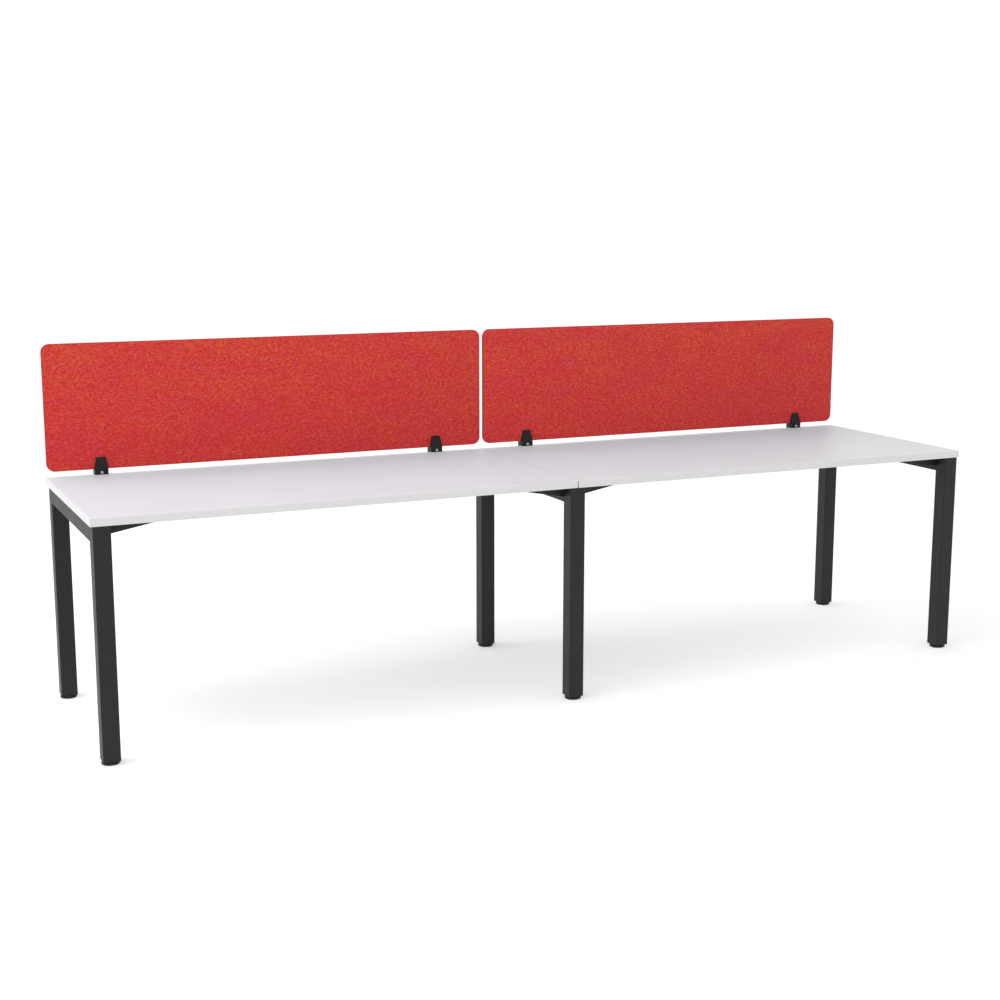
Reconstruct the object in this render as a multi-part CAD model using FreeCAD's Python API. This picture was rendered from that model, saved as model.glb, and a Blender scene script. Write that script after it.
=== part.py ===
import FreeCAD, Part
import math
import os

# Two-person workstation desk: two tops in a row on three square-tube frames, with a felt screen
# clamped along the rear edge of each top. X runs along the desk, the front is -Y and Z is up.
# The origin is on the floor, in the middle of the overall footprint. All sizes are in millimetres.

# Tops
TOP_LENGTH = 1600.0
TOP_DEPTH = 800.0
TOP_THICK = 25.0
TOP_HEIGHT = 759.0
TOP_SEAM = 4.0
BAND_THICK = 2.0
BAND_ROUND = 1.0

# Leg frames, of one square tube
TUBE_SIZE = 54.0
TUBE_WALL = 2.0
TUBE_CORNER = 3.0
LEG_END_INSET = 7.0
LEG_FRONT_INSET = 1.0
LEG_REAR_INSET = 13.0

# Beams between the frames, with a bolted plate on each end
BEAM_HEIGHT = 40.0
BEAM_DEPTH = 20.0
BEAM_WALL = 1.5
BEAM_CORNER = 2.5
BEAM_SPACING = 260.0
PLATE_WIDTH = 80.0
PLATE_THICK = 4.0
PLATE_BOLT_SPACING = 56.0
PLATE_BOLT_DIAMETER = 8.0
PLATE_BOLT_HEAD = 13.0
PLATE_BOLT_HEAD_HEIGHT = 5.0
PLATE_BOLT_SOCKET = 5.0

# Tapered sheet brackets under the tops, beside the legs
BRACKET_LENGTH = 160.0
BRACKET_ROOT = 36.0
BRACKET_TIP = 7.0
BRACKET_DEPTH = 40.0
BRACKET_SHEET = 3.0
BRACKET_BOLT_SPACING = 18.0
BRACKET_BOLT_DROP = 17.0
BRACKET_BOLT_DIAMETER = 6.0
BRACKET_BOLT_HEAD = 10.5
BRACKET_BOLT_HEAD_HEIGHT = 3.3
BRACKET_BOLT_SOCKET = 4.0
BRACKET_SCREW_FIRST = 40.0
BRACKET_SCREW_PITCH = 90.0

# Rivet nuts that the bolts turn into, in the walls of the rails
RIVET_LENGTH = 13.0
RIVET_WALL = 1.5
RIVET_BULGE = 1.5
RIVET_BULGE_LENGTH = 4.0

# Wood screws
WOOD_SCREW_DIAMETER = 4.0
WOOD_SCREW_LENGTH = 18.0
WOOD_SCREW_POINT = 4.0
WOOD_SCREW_HEAD = 8.0
WOOD_SCREW_HEAD_HEIGHT = 2.4

# Levelling feet and the threaded inserts that hold them
PAD_DIAMETER = 56.0
PAD_HEIGHT = 8.0
PAD_CHAMFER = 2.0
PAD_ROUND = 1.2
SPIGOT_DIAMETER = 12.0
SPIGOT_DEPTH = 5.0
COLLAR_FLATS = 17.0
COLLAR_HEIGHT = 3.0
STUD_DIAMETER = 10.0
STUD_LENGTH = 45.0
STUD_CHAMFER = 1.0
INSERT_FLANGE = 2.5
INSERT_HEIGHT = 22.0

# Felt screens
SCREEN_END_INSET = 5.0
SCREEN_HEIGHT = 429.5
SCREEN_THICK = 12.0
SCREEN_CORNER = 28.0
SCREEN_GAP = 14.0
SCREEN_RISE = 18.0

# Screen brackets: a body round the rear edge of the top, and a front plate drawn to it by a screw
CLAMP_FROM_END = 180.0
CLAMP_SETBACK = 18.3
CLAMP_WIDTH = 45.0
CLAMP_TOP_WIDTH = 30.5
CLAMP_HEIGHT = 59.5
CLAMP_STRAIGHT = 22.0
CLAMP_LEAN_FROM = 16.0
CLAMP_HEAD_THICK = 5.0
CLAMP_PLATE_THICK = 12.0
CLAMP_PLATE_BEVEL = 1.5
CLAMP_SLOT = 4.0
CLAMP_JAW_THICK = 13.0
CLAMP_LIP_REACH = 40.0
CLAMP_LIP_THICK = 6.0
CLAMP_LIP_SCREW_SPACING = 24.0
CLAMP_SCREW_DIAMETER = 6.0
CLAMP_SCREW_RISE = 7.3
CLAMP_SCREW_GRIP = 12.0
CLAMP_SCREW_HEAD = 10.5
CLAMP_SCREW_HEAD_HEIGHT = 3.3
CLAMP_SCREW_HEAD_ROUND = 2.4
CLAMP_SCREW_SOCKET = 4.0

# Clearances
RUNNING_FIT = 0.05
BOLT_HOLE_FIT = 0.3
INSERT_FIT = 0.1
SLIDE_GAP = 0.3
POINT_ROOM = 1.0
SOCKET_WALL = 1.2

X_AXIS = FreeCAD.Vector(1, 0, 0)
Y_AXIS = FreeCAD.Vector(0, 1, 0)
Z_AXIS = FreeCAD.Vector(0, 0, 1)

# Places worked out from the sizes above, first along the depth
rear_overhang = (
    CLAMP_PLATE_THICK + SLIDE_GAP + SCREEN_THICK + SLIDE_GAP + CLAMP_JAW_THICK - CLAMP_SETBACK
)
desk_y = -rear_overhang / 2
front_edge_y = desk_y - TOP_DEPTH / 2
rear_edge_y = desk_y + TOP_DEPTH / 2
front_leg_y = front_edge_y + LEG_FRONT_INSET + TUBE_SIZE / 2
rear_leg_y = rear_edge_y - LEG_REAR_INSET - TUBE_SIZE / 2
clamp_front_y = rear_edge_y - CLAMP_SETBACK
screen_front_y = clamp_front_y + CLAMP_PLATE_THICK + SLIDE_GAP
jaw_front_y = screen_front_y + SCREEN_THICK + SLIDE_GAP
jaw_rear_y = jaw_front_y + CLAMP_JAW_THICK
deck_front_y = clamp_front_y + CLAMP_PLATE_THICK + CLAMP_SLOT

# Heights
under_top = TOP_HEIGHT - TOP_THICK
leg_bottom = PAD_HEIGHT + COLLAR_HEIGHT + SLIDE_GAP
screen_bottom = TOP_HEIGHT + SCREEN_RISE

# Places along the run
run_half = TOP_LENGTH + TOP_SEAM / 2
screen_length = run_half - SCREEN_END_INSET - SCREEN_GAP / 2
frame_x = {
    "left": -run_half + LEG_END_INSET + TUBE_SIZE / 2,
    "centre": 0.0,
    "right": run_half - LEG_END_INSET - TUBE_SIZE / 2,
}
leg_y = {"front": front_leg_y, "rear": rear_leg_y}
inward = {"front": 1, "rear": -1}
bay_side = {"left": -1, "right": 1}


def vec(x, y, z):
    return FreeCAD.Vector(x, y, z)


def block(corner, opposite):
    low = [min(pair) for pair in zip(corner, opposite)]
    high = [max(pair) for pair in zip(corner, opposite)]
    size = [b - a for a, b in zip(low, high)]
    return Part.makeBox(size[0], size[1], size[2], vec(*low))


def rod(radius, start, end):
    direction = end.sub(start)
    return Part.makeCylinder(radius, direction.Length, start, direction)


def prism(points, sweep):
    return Part.Face(Part.makePolygon(points + points[:1])).extrude(sweep)


def hexagon_prism(across_flats, start, end):
    direction = end.sub(start)
    corner = across_flats / 2 / math.cos(math.pi / 6)
    angles = [math.pi / 3 * step for step in range(6)]
    points = [vec(corner * math.cos(a), corner * math.sin(a), 0) for a in angles]
    shape = prism(points, vec(0, 0, direction.Length))
    turn = FreeCAD.Rotation(Z_AXIS, direction)
    shape.Placement = FreeCAD.Placement(start, turn)
    return shape


def rounded_rectangle(width, depth, corner):
    # A face in the XY plane, centred on the origin, with an arc at each corner.
    edges = []
    arc_mid = corner * (1 - math.sqrt(0.5))
    w = width / 2
    d = depth / 2
    corners = [(w, -d, -1, 1), (w, d, -1, -1), (-w, d, 1, -1), (-w, -d, 1, 1)]
    tangents = []
    for index, (x, y, sx, sy) in enumerate(corners):
        along_x = vec(x + sx * corner, y, 0)
        along_y = vec(x, y + sy * corner, 0)
        middle = vec(x + sx * arc_mid, y + sy * arc_mid, 0)
        first, last = (along_x, along_y) if index % 2 == 0 else (along_y, along_x)
        tangents.append((first, middle, last))
    for index, (first, middle, last) in enumerate(tangents):
        edges.append(Part.Arc(first, middle, last).toShape())
        following = tangents[(index + 1) % len(tangents)][0]
        edges.append(Part.LineSegment(last, following).toShape())
    return Part.Face(Part.Wire(edges))


def hollow_tube(width, depth, wall, corner, length):
    # A tube along Z from the origin.
    inner_corner = max(corner - wall, wall / 4)
    outer = rounded_rectangle(width, depth, corner).extrude(vec(0, 0, length))
    inner = rounded_rectangle(width - 2 * wall, depth - 2 * wall, inner_corner).extrude(vec(0, 0, length))
    return outer.cut(inner)


def turned(shape, axis, degrees):
    shape.rotate(vec(0, 0, 0), axis, degrees)
    return shape


def moved(shape, x, y, z):
    shape.translate(vec(x, y, z))
    return shape


def save(node, solids):
    shape = solids[0] if len(solids) == 1 else Part.makeCompound(solids)
    if not shape.isValid():
        raise ValueError(node + " is not a valid shape")
    shape.exportStep("parts/" + node + ".step")


def bracket_places():
    # Each bracket: its name, the rail face it is bolted to, its direction along X, and its end of the rail.
    places = []
    for bay, side in bay_side.items():
        faces = {
            "outer": (frame_x[bay] - side * TUBE_SIZE / 2, -side),
            "inner": (side * TUBE_SIZE / 2, side),
        }
        for end, (face_x, along) in faces.items():
            for row in leg_y:
                places.append((bay, end, row, face_x, along))
    return places


def web_face_y(row):
    return leg_y[row] + inward[row] * TUBE_SIZE / 2


def bracket_bolt_points(row, face_x):
    middle = web_face_y(row) + inward[row] * (BRACKET_SHEET + (BRACKET_DEPTH - BRACKET_SHEET) / 2)
    offsets = (-BRACKET_BOLT_SPACING / 2, BRACKET_BOLT_SPACING / 2)
    return [vec(face_x, middle + offset, under_top - BRACKET_BOLT_DROP) for offset in offsets]


def bracket_screw_points(row, face_x, along):
    middle = web_face_y(row) + inward[row] * (BRACKET_SHEET + (BRACKET_DEPTH - BRACKET_SHEET) / 2)
    reaches = (BRACKET_SCREW_FIRST, BRACKET_SCREW_FIRST + BRACKET_SCREW_PITCH)
    return [vec(face_x + along * reach, middle, under_top - BRACKET_SHEET) for reach in reaches]


def beam_ends():
    # Each beam end: the rail face it meets, its direction along X, and the beam's middle along Y.
    ends = []
    for bay, side in bay_side.items():
        for row in leg_y:
            middle = desk_y - inward[row] * BEAM_SPACING / 2
            ends.append((frame_x[bay] - side * TUBE_SIZE / 2, -side, middle))
            ends.append((side * TUBE_SIZE / 2, side, middle))
    return ends


def plate_bolt_points(face_x, middle):
    offsets = (-PLATE_BOLT_SPACING / 2, PLATE_BOLT_SPACING / 2)
    return [vec(face_x, middle + offset, under_top - BEAM_HEIGHT / 2) for offset in offsets]


def clamp_places():
    # Each screen bracket: its name and its middle along X.
    places = []
    for bay, side in bay_side.items():
        inner_x = side * (SCREEN_GAP / 2 + CLAMP_FROM_END)
        outer_x = side * (SCREEN_GAP / 2 + screen_length - CLAMP_FROM_END)
        places.append((bay + "_outer", outer_x))
        places.append((bay + "_inner", inner_x))
    return places


def lip_screw_points(middle_x):
    y = jaw_front_y - CLAMP_LIP_REACH / 2
    offsets = (-CLAMP_LIP_SCREW_SPACING / 2, CLAMP_LIP_SCREW_SPACING / 2)
    return [vec(middle_x + offset, y, under_top - CLAMP_LIP_THICK) for offset in offsets]


def all_wood_screw_points():
    # Where each wood screw's head seats, with the thickness that it passes through below the top.
    points = []
    for bay, end, row, face_x, along in bracket_places():
        points += [(point, BRACKET_SHEET) for point in bracket_screw_points(row, face_x, along)]
    for name, middle_x in clamp_places():
        points += [(point, CLAMP_LIP_THICK) for point in lip_screw_points(middle_x)]
    return points


def make_tops():
    pilots = []
    for point, passed in all_wood_screw_points():
        start = vec(point.x, point.y, under_top)
        depth = WOOD_SCREW_LENGTH - passed + POINT_ROOM
        pilots.append(rod(WOOD_SCREW_DIAMETER / 2 + RUNNING_FIT, start, start.add(vec(0, 0, depth))))
    for bay, side in bay_side.items():
        near_x = side * TOP_SEAM / 2
        far_x = side * run_half
        low = (near_x + side * BAND_THICK, front_edge_y + BAND_THICK, under_top)
        high = (far_x - side * BAND_THICK, rear_edge_y - BAND_THICK, TOP_HEIGHT)
        board = block(low, high)
        save("desktop_" + bay, [board.cut(pilots)])
        save("edge_band_" + bay, edge_strips(min(near_x, far_x), max(near_x, far_x)))


def edge_strips(left_x, right_x):
    # Long strips on the front and rear edges, and short strips between them on the ends.
    near_y = front_edge_y + BAND_THICK
    far_y = rear_edge_y - BAND_THICK
    runs = [
        ((left_x, front_edge_y), (right_x, near_y), (None, front_edge_y)),
        ((left_x, far_y), (right_x, rear_edge_y), (None, rear_edge_y)),
        ((left_x, near_y), (left_x + BAND_THICK, far_y), (left_x, None)),
        ((right_x - BAND_THICK, near_y), (right_x, far_y), (right_x, None)),
    ]
    strips = []
    for low, high, (outer_x, outer_y) in runs:
        strip = block(low + (under_top,), high + (TOP_HEIGHT,))
        strips.append(strip.makeFillet(BAND_ROUND, long_outer_edges(strip, outer_x, outer_y)))
    return strips


def long_outer_edges(strip, outer_x, outer_y):
    # The two lengthwise edges of a strip that lie on its outer face.
    edges = []
    for edge in strip.Edges:
        start = edge.Vertexes[0].Point
        end = edge.Vertexes[1].Point
        level = abs(start.z - end.z) < BAND_ROUND / 10
        on_x = outer_x is not None and max(abs(start.x - outer_x), abs(end.x - outer_x)) < BAND_ROUND / 10
        on_y = outer_y is not None and max(abs(start.y - outer_y), abs(end.y - outer_y)) < BAND_ROUND / 10
        if level and (on_x or on_y):
            edges.append(edge)
    return edges


def make_legs():
    tube_bottom = leg_bottom + INSERT_FLANGE
    inserts = []
    for frame, x in frame_x.items():
        for row, y in leg_y.items():
            leg = hollow_tube(TUBE_SIZE, TUBE_SIZE, TUBE_WALL, TUBE_CORNER, under_top - tube_bottom)
            save("leg_" + frame + "_" + row, [moved(leg, x, y, tube_bottom)])
            inserts.append(moved(leg_insert(), x, y, leg_bottom))
    save("leg_inserts", inserts)


def leg_insert():
    plug_size = TUBE_SIZE - 2 * TUBE_WALL - 2 * INSERT_FIT
    plug_corner = max(TUBE_CORNER - TUBE_WALL, TUBE_WALL / 4)
    flange = rounded_rectangle(TUBE_SIZE, TUBE_SIZE, TUBE_CORNER).extrude(vec(0, 0, INSERT_FLANGE))
    plug = rounded_rectangle(plug_size, plug_size, plug_corner).extrude(vec(0, 0, INSERT_HEIGHT))
    plug.translate(vec(0, 0, INSERT_FLANGE))
    bore = rod(STUD_DIAMETER / 2 + RUNNING_FIT, vec(0, 0, 0), vec(0, 0, INSERT_FLANGE + INSERT_HEIGHT))
    return flange.fuse(plug).cut(bore).removeSplitter()


def sleeve_radius(bolt_diameter):
    return bolt_diameter / 2 + RUNNING_FIT + RIVET_WALL


def rail_bolts():
    # Each bolt in a rail: where its axis meets the rail's face, its outward direction and its diameter.
    bolts = []
    for bay, end, row, face_x, along in bracket_places():
        for point in bracket_bolt_points(row, face_x):
            bolts.append((point, along, BRACKET_BOLT_DIAMETER))
    for face_x, along, middle in beam_ends():
        for point in plate_bolt_points(face_x, middle):
            bolts.append((point, along, PLATE_BOLT_DIAMETER))
    return bolts


def make_rails():
    start_y = front_leg_y + TUBE_SIZE / 2
    length = rear_leg_y - TUBE_SIZE / 2 - start_y
    holes = []
    nuts = []
    for point, along, diameter in rail_bolts():
        wall_end = point.sub(vec(along * TUBE_WALL, 0, 0))
        holes.append(rod(sleeve_radius(diameter) + RUNNING_FIT, point, wall_end))
        nuts.append(rivet_nut(point, along, diameter))
    for frame, x in frame_x.items():
        rail = hollow_tube(TUBE_SIZE, TUBE_SIZE, TUBE_WALL, TUBE_CORNER, length)
        turned(rail, X_AXIS, -90)
        moved(rail, x, start_y, under_top - TUBE_SIZE / 2)
        save("top_rail_" + frame, [rail.cut(holes)])
    save("rivet_nuts", nuts)


def rivet_nut(point, along, diameter):
    inner = point.sub(vec(along * TUBE_WALL, 0, 0))
    sleeve = rod(sleeve_radius(diameter), point, point.sub(vec(along * RIVET_LENGTH, 0, 0)))
    bulge_end = inner.sub(vec(along * RIVET_BULGE_LENGTH, 0, 0))
    bulge = rod(sleeve_radius(diameter) + RIVET_BULGE, inner, bulge_end)
    bore = rod(diameter / 2 + RUNNING_FIT, point, point.sub(vec(along * RIVET_LENGTH, 0, 0)))
    return sleeve.fuse(bulge).cut(bore).removeSplitter()


def socket_bolt(seat, outward, shank, length, head, head_height, socket):
    # A bolt whose head seats at a point and stands outward from it.
    top = seat.add(outward * head_height)
    body = rod(shank / 2, seat, seat.sub(outward * length)).fuse(rod(head / 2, seat, top))
    recess = hexagon_prism(socket, seat.add(outward * SOCKET_WALL), top)
    return body.cut(recess).removeSplitter()


def make_beams():
    span_start = TUBE_SIZE / 2 + PLATE_THICK
    length = frame_x["right"] - TUBE_SIZE / 2 - PLATE_THICK - span_start
    for bay, side in bay_side.items():
        start_x = span_start if side > 0 else -span_start - length
        for row in leg_y:
            beam = hollow_tube(BEAM_HEIGHT, BEAM_DEPTH, BEAM_WALL, BEAM_CORNER, length)
            turned(beam, Y_AXIS, 90)
            middle = desk_y - inward[row] * BEAM_SPACING / 2
            save("beam_" + bay + "_" + row, [moved(beam, start_x, middle, under_top - BEAM_HEIGHT / 2)])
    plates = []
    bolts = []
    for face_x, along, middle in beam_ends():
        low = (face_x, middle - PLATE_WIDTH / 2, under_top - BEAM_HEIGHT)
        high = (face_x + along * PLATE_THICK, middle + PLATE_WIDTH / 2, under_top)
        plate = block(low, high)
        outward = X_AXIS * along
        for point in plate_bolt_points(face_x, middle):
            seat = point.add(outward * PLATE_THICK)
            plate = plate.cut(rod(PLATE_BOLT_DIAMETER / 2 + BOLT_HOLE_FIT, point, seat))
            bolts.append(socket_bolt(seat, outward, PLATE_BOLT_DIAMETER, PLATE_THICK + RIVET_LENGTH,
                                     PLATE_BOLT_HEAD, PLATE_BOLT_HEAD_HEIGHT, PLATE_BOLT_SOCKET))
        plates.append(plate)
    save("beam_end_plates", plates)
    save("beam_bolts", bolts)


def make_brackets():
    bolts = []
    for bay, end, row, face_x, along in bracket_places():
        outward = X_AXIS * along
        bracket = sheet_bracket(row, face_x, along)
        for point in bracket_bolt_points(row, face_x):
            seat = point.add(outward * BRACKET_SHEET)
            bracket = bracket.cut(rod(BRACKET_BOLT_DIAMETER / 2 + BOLT_HOLE_FIT, point, seat))
            bolts.append(socket_bolt(seat, outward, BRACKET_BOLT_DIAMETER, BRACKET_SHEET + RIVET_LENGTH,
                                     BRACKET_BOLT_HEAD, BRACKET_BOLT_HEAD_HEIGHT, BRACKET_BOLT_SOCKET))
        for point in bracket_screw_points(row, face_x, along):
            top = point.add(vec(0, 0, BRACKET_SHEET))
            bracket = bracket.cut(rod(WOOD_SCREW_DIAMETER / 2 + BOLT_HOLE_FIT, point, top))
        save("desktop_bracket_" + bay + "_" + end + "_" + row, [bracket])
    save("bracket_bolts", bolts)


def sheet_bracket(row, face_x, along):
    # A tapered web, a flange under the top and a flange on the rail, folded from one sheet.
    outer_y = web_face_y(row)
    deep = inward[row] * BRACKET_DEPTH
    tip_x = face_x + along * BRACKET_LENGTH
    web = prism(
        [
            vec(face_x, outer_y, under_top),
            vec(tip_x, outer_y, under_top),
            vec(tip_x, outer_y, under_top - BRACKET_TIP),
            vec(face_x, outer_y, under_top - BRACKET_ROOT),
        ],
        vec(0, inward[row] * BRACKET_SHEET, 0),
    )
    flange = block((face_x, outer_y, under_top - BRACKET_SHEET), (tip_x, outer_y + deep, under_top))
    end_low = (face_x, outer_y, under_top - BRACKET_ROOT)
    end_plate = block(end_low, (face_x + along * BRACKET_SHEET, outer_y + deep, under_top))
    web_limit = block(end_low, (tip_x, outer_y + deep, under_top))
    return web.fuse([flange, end_plate]).common(web_limit).removeSplitter()


def wood_screw(seat):
    # A pan head that seats against the face above it, and a pointed shank.
    straight_top = seat.add(vec(0, 0, WOOD_SCREW_LENGTH - WOOD_SCREW_POINT))
    shank = rod(WOOD_SCREW_DIAMETER / 2, seat, straight_top)
    point = Part.makeCone(WOOD_SCREW_DIAMETER / 2, 0, WOOD_SCREW_POINT, straight_top, Z_AXIS)
    head = rod(WOOD_SCREW_HEAD / 2, seat.sub(vec(0, 0, WOOD_SCREW_HEAD_HEIGHT)), seat)
    return shank.fuse([point, head]).removeSplitter()


def make_wood_screws():
    screws = []
    for bay, end, row, face_x, along in bracket_places():
        screws += [wood_screw(point) for point in bracket_screw_points(row, face_x, along)]
    save("bracket_wood_screws", screws)
    lip_screws = []
    for name, middle_x in clamp_places():
        lip_screws += [wood_screw(point) for point in lip_screw_points(middle_x)]
    save("screen_bracket_screws", lip_screws)


def make_feet():
    for frame, x in frame_x.items():
        for row, y in leg_y.items():
            save("foot_pad_" + frame + "_" + row, [moved(foot_pad(), x, y, 0)])
            save("foot_stud_" + frame + "_" + row, [moved(foot_stud(), x, y, PAD_HEIGHT)])


def foot_pad():
    # A turned disc: chamfered where it meets the floor, rounded above, with a socket for the stud.
    radius = PAD_DIAMETER / 2
    socket = SPIGOT_DIAMETER / 2 + RUNNING_FIT
    floor = PAD_HEIGHT - SPIGOT_DEPTH
    bend = PAD_ROUND * (1 - math.sqrt(0.5))
    outline = [
        Part.LineSegment(vec(0, 0, 0), vec(radius - PAD_CHAMFER, 0, 0)),
        Part.LineSegment(vec(radius - PAD_CHAMFER, 0, 0), vec(radius, 0, PAD_CHAMFER)),
        Part.LineSegment(vec(radius, 0, PAD_CHAMFER), vec(radius, 0, PAD_HEIGHT - PAD_ROUND)),
        Part.Arc(
            vec(radius, 0, PAD_HEIGHT - PAD_ROUND),
            vec(radius - bend, 0, PAD_HEIGHT - bend),
            vec(radius - PAD_ROUND, 0, PAD_HEIGHT),
        ),
        Part.LineSegment(vec(radius - PAD_ROUND, 0, PAD_HEIGHT), vec(socket, 0, PAD_HEIGHT)),
        Part.LineSegment(vec(socket, 0, PAD_HEIGHT), vec(socket, 0, floor)),
        Part.LineSegment(vec(socket, 0, floor), vec(0, 0, floor)),
        Part.LineSegment(vec(0, 0, floor), vec(0, 0, 0)),
    ]
    face = Part.Face(Part.Wire([curve.toShape() for curve in outline]))
    return face.revolve(vec(0, 0, 0), Z_AXIS, 360)


def foot_stud():
    # A spigot that turns in the pad, a hexagon collar on the pad and the threaded shank above it.
    spigot = rod(SPIGOT_DIAMETER / 2, vec(0, 0, -SPIGOT_DEPTH), vec(0, 0, 0))
    collar = hexagon_prism(COLLAR_FLATS, vec(0, 0, 0), vec(0, 0, COLLAR_HEIGHT))
    straight = COLLAR_HEIGHT + STUD_LENGTH - STUD_CHAMFER
    shank = rod(STUD_DIAMETER / 2, vec(0, 0, COLLAR_HEIGHT), vec(0, 0, straight))
    end_radius = STUD_DIAMETER / 2 - STUD_CHAMFER
    end = Part.makeCone(STUD_DIAMETER / 2, end_radius, STUD_CHAMFER, vec(0, 0, straight))
    return spigot.fuse([collar, shank, end]).removeSplitter()


def make_screens():
    for bay, side in bay_side.items():
        face = rounded_rectangle(screen_length, SCREEN_HEIGHT, SCREEN_CORNER)
        board = face.extrude(vec(0, 0, SCREEN_THICK))
        turned(board, X_AXIS, 90)
        middle_x = side * (SCREEN_GAP + screen_length) / 2
        middle_z = screen_bottom + SCREEN_HEIGHT / 2
        save("screen_" + bay, [moved(board, middle_x, screen_front_y + SCREEN_THICK, middle_z)])


def jaw_outline(middle_x, y, bottom):
    # Front view of the straight-sided foot and tapered head that the front plate and the rear jaw share.
    wide = CLAMP_WIDTH / 2
    narrow = CLAMP_TOP_WIDTH / 2
    shoulder = TOP_HEIGHT + CLAMP_STRAIGHT
    top = TOP_HEIGHT + CLAMP_HEIGHT
    half = [(wide, bottom), (wide, shoulder), (narrow, top)]
    right = [vec(middle_x + x, y, z) for x, z in half]
    left = [vec(middle_x - x, y, z) for x, z in reversed(half)]
    return right + left


def clamp_jaw(middle_x, felt_side_y, away, thick, bottom):
    # One jaw: flat toward the screen, with a thick foot and a head that leans in to a thin top.
    slab = prism(jaw_outline(middle_x, felt_side_y, bottom), vec(0, away * thick, 0))
    left = middle_x - CLAMP_WIDTH / 2
    outer_y = felt_side_y + away * thick
    head_y = felt_side_y + away * CLAMP_HEAD_THICK
    lean_bottom = TOP_HEIGHT + CLAMP_LEAN_FROM
    top = TOP_HEIGHT + CLAMP_HEIGHT
    waste = [vec(left, outer_y, lean_bottom), vec(left, outer_y, top), vec(left, head_y, top)]
    return slab.cut(prism(waste, vec(CLAMP_WIDTH, 0, 0)))


def make_clamps():
    for name, middle_x in clamp_places():
        save("screen_bracket_" + name, [bracket_body(middle_x)])
        save("clamp_plate_" + name, [clamp_plate(middle_x)])
        save("clamp_screw_" + name, [clamp_screw(middle_x)])


def screw_axis_point(middle_x, y):
    return vec(middle_x, y, TOP_HEIGHT + CLAMP_SCREW_RISE)


def bracket_body(middle_x):
    # One casting: a rear jaw, a deck that the screen stands on, a neck behind the top and a lip under it.
    left = middle_x - CLAMP_WIDTH / 2
    right = middle_x + CLAMP_WIDTH / 2
    lip_bottom = under_top - CLAMP_LIP_THICK
    jaw = clamp_jaw(middle_x, jaw_front_y, 1, CLAMP_JAW_THICK, lip_bottom)
    deck = block((left, deck_front_y, TOP_HEIGHT), (right, jaw_front_y, screen_bottom))
    neck = block((left, rear_edge_y + SLIDE_GAP, lip_bottom), (right, jaw_front_y, screen_bottom))
    lip = block((left, jaw_front_y - CLAMP_LIP_REACH, lip_bottom), (right, jaw_front_y, under_top))
    body = jaw.fuse([deck, neck, lip]).removeSplitter()
    thread_start = screw_axis_point(middle_x, deck_front_y)
    thread_end = thread_start.add(vec(0, CLAMP_SCREW_GRIP + POINT_ROOM, 0))
    body = body.cut(rod(CLAMP_SCREW_DIAMETER / 2 + RUNNING_FIT, thread_start, thread_end))
    for point in lip_screw_points(middle_x):
        top = point.add(vec(0, 0, CLAMP_LIP_THICK))
        body = body.cut(rod(WOOD_SCREW_DIAMETER / 2 + BOLT_HOLE_FIT, point, top))
    return body


def clamp_plate(middle_x):
    plate_rear_y = clamp_front_y + CLAMP_PLATE_THICK
    plate = clamp_jaw(middle_x, plate_rear_y, -1, CLAMP_PLATE_THICK, TOP_HEIGHT + SLIDE_GAP)
    head_front_y = plate_rear_y - CLAMP_HEAD_THICK
    rims = []
    for edge in plate.Edges:
        low, high = sorted(vertex.Point.z for vertex in edge.Vertexes)
        in_front = all(vertex.Point.y < head_front_y + SLIDE_GAP for vertex in edge.Vertexes)
        along_top = low > TOP_HEIGHT + CLAMP_HEIGHT - SLIDE_GAP
        if in_front and (along_top or high - low > SLIDE_GAP):
            rims.append(edge)
    plate = plate.makeChamfer(CLAMP_PLATE_BEVEL, rims)
    start = screw_axis_point(middle_x, clamp_front_y)
    end = screw_axis_point(middle_x, plate_rear_y)
    return plate.cut(rod(CLAMP_SCREW_DIAMETER / 2 + RUNNING_FIT, start, end))


def clamp_screw(middle_x):
    # A domed head on the front plate, with a shank through the plate into the deck.
    seat = screw_axis_point(middle_x, clamp_front_y)
    outward = Y_AXIS * -1
    top = seat.add(outward * CLAMP_SCREW_HEAD_HEIGHT)
    head = rod(CLAMP_SCREW_HEAD / 2, seat, top)
    rim = [edge for edge in head.Edges if abs(edge.CenterOfMass.y - top.y) < SLIDE_GAP]
    head = head.makeFillet(CLAMP_SCREW_HEAD_ROUND, rim)
    head = head.cut(hexagon_prism(CLAMP_SCREW_SOCKET, seat.add(outward * SOCKET_WALL), top))
    shank_end = screw_axis_point(middle_x, deck_front_y + CLAMP_SCREW_GRIP)
    return head.fuse(rod(CLAMP_SCREW_DIAMETER / 2, seat, shank_end)).removeSplitter()


os.makedirs("parts", exist_ok=True)
make_tops()
make_legs()
make_rails()
make_beams()
make_brackets()
make_wood_screws()
make_feet()
make_screens()
make_clamps()
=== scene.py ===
import math

import bmesh
import bpy
from bpy.props import FloatProperty, FloatVectorProperty, IntProperty, PointerProperty
from bpy.types import Operator, Panel, PropertyGroup
from mathutils import Matrix, Vector


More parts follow.
